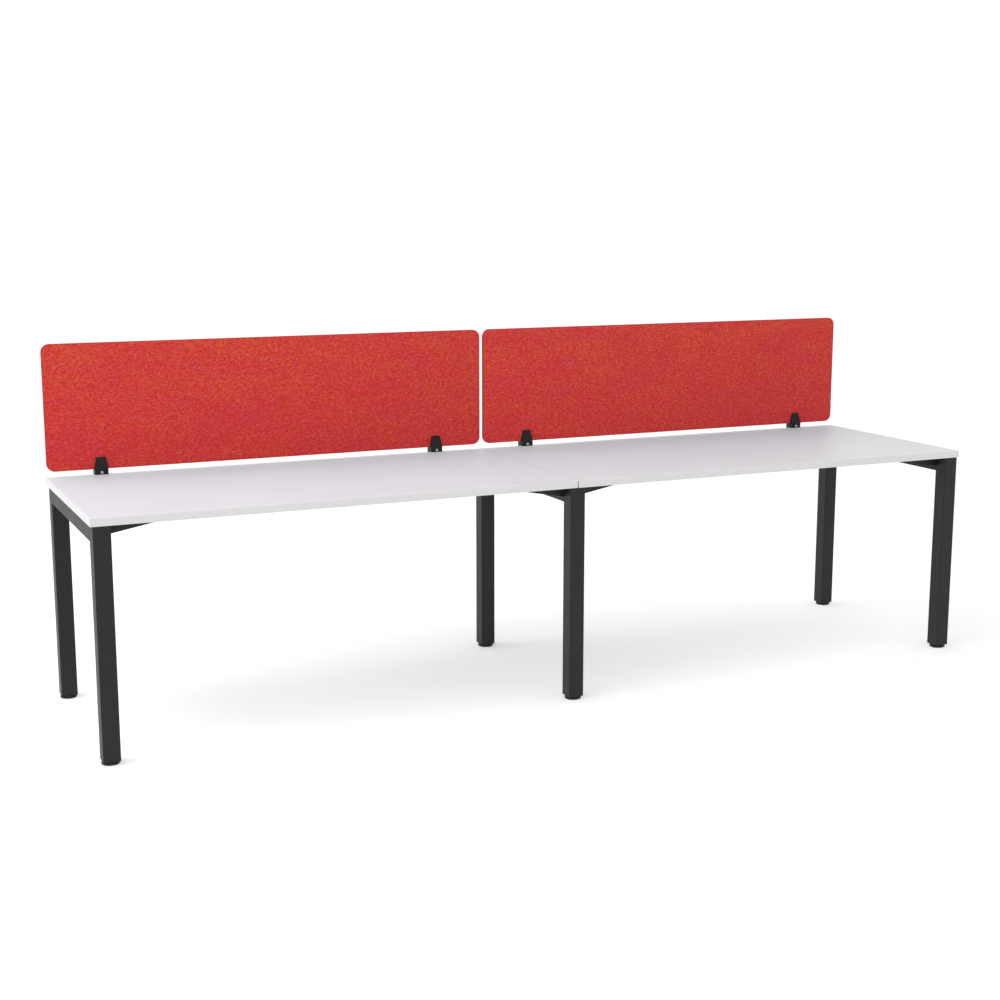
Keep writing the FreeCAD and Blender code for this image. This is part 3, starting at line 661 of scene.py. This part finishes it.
def fibres_tree():
    """Scatters short bent fibres over the incoming mesh, above a given height."""
    inputs = [
        ("Geometry", "NodeSocketGeometry", None),
        ("Density", "NodeSocketFloat", 1300.0),
        ("Length", "NodeSocketFloat", 2.4 * MM),
        ("Radius", "NodeSocketFloat", 0.05 * MM),
        ("Lowest", "NodeSocketFloat", 0.0),
        ("Seed", "NodeSocketInt", 11),
        ("Material", "NodeSocketMaterial", None),
    ]
    tree, source, result = new_group("Felt fibres", "GeometryNodeTree", inputs, MESH_ONLY)
    given = source.outputs
    scattered = add_node(tree, "GeometryNodeDistributePointsOnFaces", {
        "Mesh": given["Geometry"], "Density": given["Density"], "Seed": given["Seed"]})
    _, _, height = position_parts(tree)
    above = calculate(tree, "GREATER_THAN", height, given["Lowest"])
    half = calculate(tree, "MULTIPLY", given["Length"], 0.5)
    rise = calculate(tree, "MULTIPLY", given["Length"], FIBRE_BOW)
    middle = add_node(tree, "ShaderNodeCombineXYZ", {"X": half, "Z": rise})
    end = add_node(tree, "ShaderNodeCombineXYZ", {"X": given["Length"]})
    arc = add_node(tree, "GeometryNodeCurveQuadraticBezier", {
        "Resolution": FIBRE_STEPS, "Start": (0.0, 0.0, 0.0), "Middle": middle.outputs["Vector"],
        "End": end.outputs["Vector"]})
    section = add_node(tree, "GeometryNodeCurvePrimitiveCircle", {
        "Resolution": FIBRE_SIDES, "Radius": given["Radius"]})
    fibre = add_node(tree, "GeometryNodeCurveToMesh", {
        "Curve": arc.outputs["Curve"], "Profile Curve": section.outputs["Curve"], "Fill Caps": True})
    turn = add_node(tree, "FunctionNodeRotateRotation", {
        "Rotation": scattered.outputs["Rotation"], "Rotate By": random_spin(tree, given["Seed"])},
        rotation_space="LOCAL")
    size = add_node(tree, "FunctionNodeRandomValue", {"Seed": given["Seed"]}, data_type="FLOAT")
    size.inputs[2].default_value = FIBRE_LEAST
    size.inputs[3].default_value = 1.0
    placed = add_node(tree, "GeometryNodeInstanceOnPoints", {
        "Points": scattered.outputs["Points"], "Selection": above, "Instance": fibre.outputs["Mesh"],
        "Rotation": turn.outputs["Rotation"], "Scale": size.outputs[1]})
    finish_tree(tree, result, placed.outputs["Instances"], given["Material"])
    return tree


def nodes_tree(name, maker):
    """The named Geometry Nodes tree, built on its first use."""
    return bpy.data.node_groups.get(name) or maker()


# Pieces

THREAD_ROWS_PER_TURN = 6
THREAD_DEPTH_PER_PITCH = 0.5
POINTING_UP = (0.0, 0.0, 0.0)
POINTING_BACK = (math.radians(-90), 0.0, 0.0)


def add_thread(piece, pitch, diameter, length, end_chamfer, middle, turn):
    """Adds a threaded zinc shank to a piece."""
    apply_nodes(piece, nodes_tree("Threaded shank", thread_tree), {
        "Radius": diameter / 2,
        "Thread depth": pitch * THREAD_DEPTH_PER_PITCH,
        "Pitch": pitch,
        "Length": length,
        "End chamfer": end_chamfer,
        "Segments": bpy.context.scene.desk_sizes.thread_segments,
        "Rows": round(length / pitch * THREAD_ROWS_PER_TURN),
        "Middle": tuple(middle),
        "Turn": turn,
        "Material": finish("Bright zinc"),
    })


STUD_COLLAR_FLATS = 17 * MM
STUD_SHANK = 10 * MM
STUD_SPIGOT = 12 * MM
STUD_END_CHAMFER = 1 * MM
SPIGOT_SIDES = 32
COLLAR_HEIGHT = 3 * MM
COLLAR_CHAMFER = 0.6 * MM
COLLAR_SIDES = 48


def collar_side(angle):
    """Distance from a stud's axis to its hexagon collar, at an angle."""
    return hexagon_radius(angle, STUD_COLLAR_FLATS)


def collar_crown(angle):
    """Distance from a stud's axis to the end of its collar's chamfer, at an angle."""
    return min(collar_side(angle), STUD_COLLAR_FLATS / 2)


def stud_base(low, high, pad_top):
    """A foot stud's spigot and chamfered hexagon collar, in place."""
    middle = (low + high) / 2
    bm = bmesh.new()
    spigot = [(STUD_SPIGOT / 2, low.z), (STUD_SPIGOT / 2, pad_top)]
    join_rings(bm, turned_rings(bm, spigot, SPIGOT_SIDES))
    collar = [(collar_crown, 0.0), (collar_side, COLLAR_CHAMFER),
              (collar_side, COLLAR_HEIGHT - COLLAR_CHAMFER), (collar_crown, COLLAR_HEIGHT)]
    join_rings(bm, [polar_ring(bm, reach_at, pad_top + rise, COLLAR_SIDES) for reach_at, rise in collar])
    bmesh.ops.translate(bm, verts=bm.verts, vec=(middle.x, middle.y, 0.0))
    return mesh_from(bm, "levelling_stud")


def make_stud(place, sizes):
    """One threaded levelling stud, in place of its CAD node."""
    node = f"foot_stud_{place}"
    low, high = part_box(node)
    pad_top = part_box(f"foot_pad_{place}")[1].z
    piece = new_piece(f"levelling_stud_{place}", stud_base(low, high, pad_top), "Bright zinc")
    length = high.z - pad_top - COLLAR_HEIGHT
    middle = (low + high) / 2
    middle.z = high.z - length / 2
    add_thread(piece, sizes.stud_pitch, STUD_SHANK, length, STUD_END_CHAMFER, middle, POINTING_UP)
    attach(piece, f"stud_{place}")
    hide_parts(node)


CLAMP_HEAD = 10.5 * MM
CLAMP_HEAD_HEIGHT = 3.3 * MM
CLAMP_HEAD_FOOT = 0.15 * MM
CLAMP_HEAD_RIM = 0.9 * MM
CLAMP_FOOT_SHARE = 0.97
CLAMP_FLAT_SHARE = 0.52
CLAMP_DOME_STEPS = 5
CLAMP_SHANK = 6 * MM
CLAMP_END_CHAMFER = 0.6 * MM
CLAMP_SOCKET_FLATS = 4 * MM
CLAMP_SOCKET_DEPTH = 2.1 * MM
BUTTON_SIDES = 48
FACING_USER = Matrix.Rotation(math.radians(90), 4, "X")


def socket_side(angle):
    """Distance from a clamp screw's axis to the side of its socket, at an angle."""
    return hexagon_radius(angle, CLAMP_SOCKET_FLATS)


def button_head(seat):
    """A domed screw head with a hexagon socket, standing on a seat and facing the users."""
    bm = bmesh.new()
    radius = CLAMP_HEAD / 2
    flat = radius * CLAMP_FLAT_SHARE
    profile = [(radius * CLAMP_FOOT_SHARE, 0.0), (radius, CLAMP_HEAD_FOOT), (radius, CLAMP_HEAD_RIM)]
    for step in range(1, CLAMP_DOME_STEPS + 1):
        angle = math.radians(90) * step / CLAMP_DOME_STEPS
        profile.append((flat + (radius - flat) * math.cos(angle),
                        CLAMP_HEAD_RIM + (CLAMP_HEAD_HEIGHT - CLAMP_HEAD_RIM) * math.sin(angle)))
    rings = turned_rings(bm, profile, BUTTON_SIDES)
    for depth in (0.0, CLAMP_SOCKET_DEPTH):
        rings.append(polar_ring(bm, socket_side, CLAMP_HEAD_HEIGHT - depth, BUTTON_SIDES))
    join_rings(bm, rings)
    bmesh.ops.transform(bm, matrix=Matrix.Translation(seat) @ FACING_USER, verts=bm.verts)
    return mesh_from(bm, "clamp_button")


def make_clamp_screw(place, sizes):
    """One button-head clamp screw, in place of its CAD node."""
    node = f"clamp_screw_{place}"
    low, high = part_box(node)
    plate_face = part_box(f"clamp_plate_{place}")[0].y
    seat = Vector(((low.x + high.x) / 2, plate_face, (low.z + high.z) / 2))
    piece = new_piece(f"clamp_button_screw_{place}", button_head(seat), "Bright zinc")
    length = high.y - plate_face
    middle = (seat.x, plate_face + length / 2, seat.z)
    add_thread(piece, sizes.screw_pitch, CLAMP_SHANK, length, CLAMP_END_CHAMFER, middle, POINTING_BACK)
    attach(piece, f"screw_{place}")
    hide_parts(node)


WOOD_SHANK = 4 * MM
WOOD_LENGTH = 18 * MM
WOOD_POINT = 4 * MM
WOOD_TIP = 0.2 * MM
WOOD_PITCH = 2 * MM
WOOD_ROOT_SHARE = 0.36
WOOD_HEAD = 8 * MM
WOOD_HEAD_HEIGHT = 2.4 * MM
WOOD_HEAD_SHARES = ((0.62, 1.0), (0.86, 0.8), (1.0, 0.35), (1.0, 0.0))
WOOD_SIDES = 40
CROSS_REACH = 2.1 * MM
CROSS_HALF = 0.55 * MM
CROSS_DEPTH = 1.3 * MM
WING_SCREW_FIRST = 40 * MM
WING_SCREW_PITCH = 90 * MM
SHEET = 3 * MM
LIP_SCREW_SPACING = 24 * MM
LIP_REACH = 40 * MM
WING_SCREW_SEED = 5
LIP_SCREW_SEED = 9


def cross_radius(angle):
    """Distance from the middle of a cross recess to its side, at an angle."""
    along = max(abs(math.cos(angle)), abs(math.sin(angle)))
    across = min(abs(math.cos(angle)), abs(math.sin(angle)))
    return min(CROSS_REACH / along, CROSS_HALF / max(across, 1e-6))


def wood_screw_mesh():
    """A pan-head wood screw that points up from its seat, with a cross recess below."""
    bm = bmesh.new()
    foot = -WOOD_HEAD_HEIGHT
    recess = [polar_ring(bm, cross_radius, foot + depth, WOOD_SIDES) for depth in (CROSS_DEPTH, 0.0)]
    profile = [(across * WOOD_HEAD / 2, -below * WOOD_HEAD_HEIGHT) for across, below in WOOD_HEAD_SHARES]
    profile.append((WOOD_SHANK / 2, 0.0))
    root = WOOD_SHANK * WOOD_ROOT_SHARE
    straight = WOOD_LENGTH - WOOD_POINT
    for turn in range(int(straight / WOOD_PITCH)):
        base = (turn + 0.5) * WOOD_PITCH
        profile += [(root, base), (WOOD_SHANK / 2, base + WOOD_PITCH / 2)]
    profile += [(root, straight), (WOOD_TIP, WOOD_LENGTH)]
    join_rings(bm, recess + turned_rings(bm, profile, WOOD_SIDES))
    return mesh_from(bm, "wood_screw")


def wing_screw_points():
    """Seats of the screws that hold the desktop brackets, from each bracket's box."""
    points = []
    for node in WINGS:
        low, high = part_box(node)
        rooted_low = ("left_outer" in node) or ("right_inner" in node)
        from_front = "_front" in node
        middle_y = (low.y + SHEET + high.y) / 2 if from_front else (low.y + high.y - SHEET) / 2
        for reach in (WING_SCREW_FIRST, WING_SCREW_FIRST + WING_SCREW_PITCH):
            x = low.x + reach if rooted_low else high.x - reach
            points.append((x, middle_y, high.z - SHEET))
    return points


def lip_screw_points():
    """Seats of the screws that hold the screen brackets, from each bracket's box."""
    points = []
    for place in CLAMPS:
        low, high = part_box(f"screen_bracket_{place}")
        middle_x = (low.x + high.x) / 2
        y = low.y + LIP_REACH / 2
        for offset in (-LIP_SCREW_SPACING / 2, LIP_SCREW_SPACING / 2):
            points.append((middle_x + offset, y, low.z))
    return points


def make_screws(name, node, points, seed):
    """One piece with a wood screw at each point, in place of a CAD group of screws."""
    template = new_piece("wood_screw_template", wood_screw_mesh(), "Bright zinc")
    seats = bpy.data.meshes.new(name)
    seats.from_pydata(points, [], [])
    piece = new_piece(name, seats, "Bright zinc")
    apply_nodes(piece, nodes_tree("Screws on points", screws_tree), {
        "Screw": template, "Seed": seed, "Material": finish("Bright zinc")})
    template_mesh = template.data
    bpy.data.objects.remove(template)
    bpy.data.meshes.remove(template_mesh)
    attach(piece, "frame")
    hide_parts(node)


FELT_CORNER_STEPS = 12
FELT_ROUND_STEPS = 4
# Share of the rim colour, partly pressed felt and partly painted shade, at each step of the edge rounding.
FELT_RIM_AND_SHADE_SHARES = (0.0, 1.0, 1.0, 1.0, 0.4)
FELT_SMOOTH_ANGLE = math.radians(60)
FIBRE_FREE_RISE = 6 * MM
FIBRE_SEED = 11


def rounded_outline(low, high, corner, inset, y):
    """Points round a felt board, drawn in from its outline, at one depth."""
    points = []
    radius = corner - inset
    centres = [(high.x - corner, low.z + corner, -90), (high.x - corner, high.z - corner, 0),
               (low.x + corner, high.z - corner, 90), (low.x + corner, low.z + corner, 180)]
    for x, z, start in centres:
        for step in range(FELT_CORNER_STEPS + 1):
            angle = math.radians(start + 90 * step / FELT_CORNER_STEPS)
            points.append(Vector((x + radius * math.cos(angle), y, z + radius * math.sin(angle))))
    return points


def felt_board_mesh(low, high, sizes):
    """A felt board with rounded corners and softly rounded edges."""
    bm = bmesh.new()
    # Per-vertex share of the rim colour, partly pressed felt and partly painted shade.
    rim_and_shade = bm.verts.layers.float.new(FELT_RIM_AND_SHADE)
    soft = sizes.felt_round
    rings = []
    for face_y, inward in ((low.y, 1), (high.y, -1)):
        steps = range(FELT_ROUND_STEPS + 1)
        for step in steps if inward > 0 else reversed(steps):
            angle = math.radians(90) * step / FELT_ROUND_STEPS
            inset = soft * (1 - math.sin(angle))
            y = face_y + inward * soft * (1 - math.cos(angle))
            outline = ring(bm, rounded_outline(low, high, sizes.felt_corner, inset, y))
            for vertex in outline:
                vertex[rim_and_shade] = FELT_RIM_AND_SHADE_SHARES[step]
            rings.append(outline)
    join_rings(bm, rings)
    return mesh_from(bm, "felt_board", FELT_SMOOTH_ANGLE)


def make_felt_board(bay, sizes):
    """One felt board with its loose fibres, in place of its CAD node."""
    node = f"screen_{bay}"
    low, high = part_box(node)
    board = new_piece(f"felt_board_{bay}", felt_board_mesh(low, high, sizes), "Red flecked felt")
    fuzz = new_piece(f"felt_fibres_{bay}", board.data.copy(), "Red flecked felt")
    clamp_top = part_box(f"clamp_plate_{bay}_outer")[1].z
    apply_nodes(fuzz, nodes_tree("Felt fibres", fibres_tree), {
        "Density": sizes.fibre_density,
        "Length": sizes.fibre_length,
        "Radius": sizes.fibre_radius,
        "Lowest": clamp_top + FIBRE_FREE_RISE,
        "Seed": FIBRE_SEED + BAYS.index(bay),
        "Material": finish("Red flecked felt"),
    })
    for piece in (board, fuzz):
        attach(piece, f"felt_screen_{bay}")
    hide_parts(node)


# Operators, one for each group of like pieces

class DESK_OT_tops(Operator):
    """Face the two tops and their edge bands in white."""

    bl_idname = "desk.tops"
    bl_label = "Tops"

    def execute(self, context):
        coat_nodes([f"desktop_{bay}" for bay in BAYS], "White melamine")
        coat_nodes([f"edge_band_{bay}" for bay in BAYS], "White edge band")
        return {"FINISHED"}


class DESK_OT_frames(Operator):
    """Coat the legs, rails, beams and desktop brackets in black."""

    bl_idname = "desk.frames"
    bl_label = "Leg frames"

    def execute(self, context):
        tubes = [f"leg_{leg}" for leg in LEGS] + [f"top_rail_{column}" for column in COLUMNS]
        beams = [f"beam_{bay}_{row}" for bay in BAYS for row in ROWS] + ["beam_end_plates"]
        coat_nodes(tubes + beams + WINGS, "Black powder coat")
        return {"FINISHED"}


class DESK_OT_fixings(Operator):
    """Plate the bolts and rivet nuts, and drive the wood screws."""

    bl_idname = "desk.fixings"
    bl_label = "Fixings"

    def execute(self, context):
        coat_nodes(["beam_bolts", "bracket_bolts", "rivet_nuts"], "Bright zinc")
        make_screws("wing_wood_screws", "bracket_wood_screws", wing_screw_points(), WING_SCREW_SEED)
        make_screws("lip_wood_screws", "screen_bracket_screws", lip_screw_points(), LIP_SCREW_SEED)
        return {"FINISHED"}


class DESK_OT_feet(Operator):
    """Mould the levelling feet and cut the threads of their studs."""

    bl_idname = "desk.feet"
    bl_label = "Levelling feet"

    def execute(self, context):
        coat_nodes([f"foot_pad_{leg}" for leg in LEGS] + ["leg_inserts"], "Black moulded plastic")
        for leg in LEGS:
            make_stud(leg, context.scene.desk_sizes)
        return {"FINISHED"}


class DESK_OT_clamps(Operator):
    """Coat the screen brackets and fit their button screws."""

    bl_idname = "desk.clamps"
    bl_label = "Screen clamps"

    def execute(self, context):
        brackets = [f"screen_bracket_{place}" for place in CLAMPS]
        plates = [f"clamp_plate_{place}" for place in CLAMPS]
        coat_nodes(brackets + plates, "Black clamp coat")
        for place in CLAMPS:
            make_clamp_screw(place, context.scene.desk_sizes)
        return {"FINISHED"}


class DESK_OT_screens(Operator):
    """Press the red felt boards and raise their loose fibres."""

    bl_idname = "desk.screens"
    bl_label = "Felt screens"

    def execute(self, context):
        for bay in BAYS:
            make_felt_board(bay, context.scene.desk_sizes)
        return {"FINISHED"}


class DESK_OT_stage(Operator):
    """Lay the white floor, and set the light and the camera."""

    bl_idname = "desk.stage"
    bl_label = "Studio"

    def execute(self, context):
        stage = context.scene.desk_stage
        lay_floor(stage)
        light_sky(context.scene, stage)
        hang_key_light(context.scene, stage)
        set_camera(context.scene, stage)
        context.scene.view_settings.view_transform = "Standard"
        return {"FINISHED"}


# Stage

FLOOR_HALF = 60.0
FLOOR_TINT = (1.0, 0.98, 1.0)
# Middle and reaches of the desk's shade on the floor, where the floor's painted glow is least.
POOL_MIDDLE = (0.05, 0.2, 0.0)
POOL_REACH = (1.65, 0.75, 1.0)
POOL_EDGE = 1.05
POOL_END = 1.5
KEY_PLACE = Vector((-2.3, 0.1, 3.9))
KEY_TARGET = Vector((-1.3, 0.0, 0.5))
KEY_SIZE = 3.4
SENSOR_WIDTH = 36.0
WHITE = (1.0, 1.0, 1.0, 1.0)


def seen_directly(tree):
    """1 where a ray comes from the camera, a mirror-like surface or glass, as a socket."""
    path = tree.nodes.new("ShaderNodeLightPath")
    glossy = calculate(tree, "MAXIMUM", path.outputs["Is Camera Ray"], path.outputs["Is Glossy Ray"])
    return calculate(tree, "MAXIMUM", glossy, path.outputs["Is Transmission Ray"])


def pool_distance(tree):
    """Square of the distance from the middle of the desk's shade, in reaches of the shade, as a socket."""
    place = tree.nodes.new("ShaderNodeTexCoord").outputs["Object"]
    offset = vector_math(tree, "SUBTRACT", place, POOL_MIDDLE)
    reaches = vector_math(tree, "DIVIDE", offset, POOL_REACH)
    return vector_math(tree, "DOT_PRODUCT", reaches, reaches)


def lay_floor(stage):
    """A wide white floor that keeps soft shadows, with painted light on it: a glow that direct rays see,
    least under the desk's middle and more round it, so the shadow shows as a tighter pool; it is white
    elsewhere.
    """
    corners = [(-FLOOR_HALF, -FLOOR_HALF, 0), (FLOOR_HALF, -FLOOR_HALF, 0),
               (FLOOR_HALF, FLOOR_HALF, 0), (-FLOOR_HALF, FLOOR_HALF, 0)]
    mesh = bpy.data.meshes.new("studio_floor")
    mesh.from_pydata(corners, [], [(0, 1, 2, 3)])
    floor = bpy.data.objects.new("studio_floor", mesh)
    bpy.context.scene.collection.objects.link(floor)
    material = bpy.data.materials.new("Studio floor")
    material.use_nodes = True
    tree = material.node_tree
    tree.nodes.clear()
    tint = shade(FLOOR_TINT, stage.floor_albedo)
    lit = add_node(tree, "ShaderNodeBsdfDiffuse", {"Color": (*tint, 1.0)})
    # Painted light: the glow grows from the desk's middle out to the edge of its shade, then falls back
    # beyond it.
    distance = pool_distance(tree)
    rise = spread(tree, distance, 0.0, POOL_EDGE, stage.floor_lift, stage.floor_lift + stage.floor_painted_rise)
    fall = spread(tree, distance, POOL_EDGE, POOL_END, 0.0, stage.floor_painted_fall)
    painted_glow = calculate(tree, "SUBTRACT", rise, fall)
    painted_glow_shader = add_node(tree, "ShaderNodeEmission", {"Color": WHITE, "Strength": painted_glow})
    shown = add_node(tree, "ShaderNodeAddShader", {0: lit.outputs["BSDF"], 1: painted_glow_shader.outputs["Emission"]})
    mixed = add_node(tree, "ShaderNodeMixShader", {
        0: seen_directly(tree), 1: lit.outputs["BSDF"], 2: shown.outputs["Shader"]})
    add_node(tree, "ShaderNodeOutputMaterial", {"Surface": mixed.outputs["Shader"]})
    mesh.materials.append(material)


def light_sky(scene, stage):
    """An even white sky that shows as plain white."""
    world = bpy.data.worlds.new("Studio sky")
    scene.world = world
    world.use_nodes = True
    tree = world.node_tree
    tree.nodes.clear()
    direction = tree.nodes.new("ShaderNodeTexCoord").outputs["Generated"]
    lean = vector_math(tree, "DOT_PRODUCT", direction, stage.sky_lean)
    lit = calculate(tree, "MULTIPLY", calculate(tree, "ADD", lean, 1.0), stage.sky_strength)
    strength = spread(tree, seen_directly(tree), 0.0, 1.0, lit, 1.0)
    sky = add_node(tree, "ShaderNodeBackground", {"Color": WHITE, "Strength": strength})
    add_node(tree, "ShaderNodeOutputWorld", {"Surface": sky.outputs["Background"]})


def hang_key_light(scene, stage):
    """A large soft lamp, high at the left end of the desk."""
    lamp = bpy.data.lights.new("Key light", "AREA")
    lamp.shape = "DISK"
    lamp.size = KEY_SIZE
    lamp.energy = stage.key_power
    key = bpy.data.objects.new("Key light", lamp)
    key.location = KEY_PLACE
    key.rotation_euler = (KEY_TARGET - KEY_PLACE).to_track_quat("-Z", "Y").to_euler()
    scene.collection.objects.link(key)


def set_camera(scene, stage):
    """The camera, at the place and with the lens that the properties give."""
    camera_data = bpy.data.cameras.new("Camera")
    camera_data.sensor_width = SENSOR_WIDTH
    camera_data.sensor_fit = "HORIZONTAL"
    camera_data.lens = stage.camera_lens
    camera = bpy.data.objects.new("Camera", camera_data)
    camera.location = stage.camera_place
    camera.rotation_euler = (math.radians(90) - stage.camera_dip, 0.0, -stage.camera_heading)
    scene.collection.objects.link(camera)
    scene.camera = camera


# Sidebar and registration

PIECE_OPERATORS = (
    DESK_OT_tops,
    DESK_OT_frames,
    DESK_OT_fixings,
    DESK_OT_feet,
    DESK_OT_clamps,
    DESK_OT_screens,
    DESK_OT_stage,
)


class DESK_PT_sidebar(Panel):
    """Lists the desk's pieces and the properties that shape them."""

    bl_idname = "DESK_PT_sidebar"
    bl_label = "Workstation desk"
    bl_space_type = "VIEW_3D"
    bl_region_type = "UI"
    bl_category = "Desk"

    def draw(self, context):
        layout = self.layout
        for operator in PIECE_OPERATORS:
            layout.operator(operator.bl_idname)
        for group in (context.scene.desk_finishes, context.scene.desk_sizes, context.scene.desk_stage):
            box = layout.box()
            for name in group.bl_rna.properties.keys():
                if name not in ("rna_type", "name"):
                    box.prop(group, name)


PROPERTY_GROUPS = {"desk_finishes": DeskFinishes, "desk_sizes": DeskSizes, "desk_stage": DeskStage}
CLASSES = (*PROPERTY_GROUPS.values(), *PIECE_OPERATORS, DESK_PT_sidebar)


def register():
    for cls in CLASSES:
        bpy.utils.register_class(cls)
    for name, group in PROPERTY_GROUPS.items():
        setattr(bpy.types.Scene, name, PointerProperty(type=group))


def unregister():
    for name in PROPERTY_GROUPS:
        delattr(bpy.types.Scene, name)
    for cls in reversed(CLASSES):
        bpy.utils.unregister_class(cls)


def main():
    register()
    bpy.ops.desk.tops()
    bpy.ops.desk.frames()
    bpy.ops.desk.fixings()
    bpy.ops.desk.feet()
    bpy.ops.desk.clamps()
    bpy.ops.desk.screens()
    bpy.ops.desk.stage()


if __name__ == "__main__":
    main()
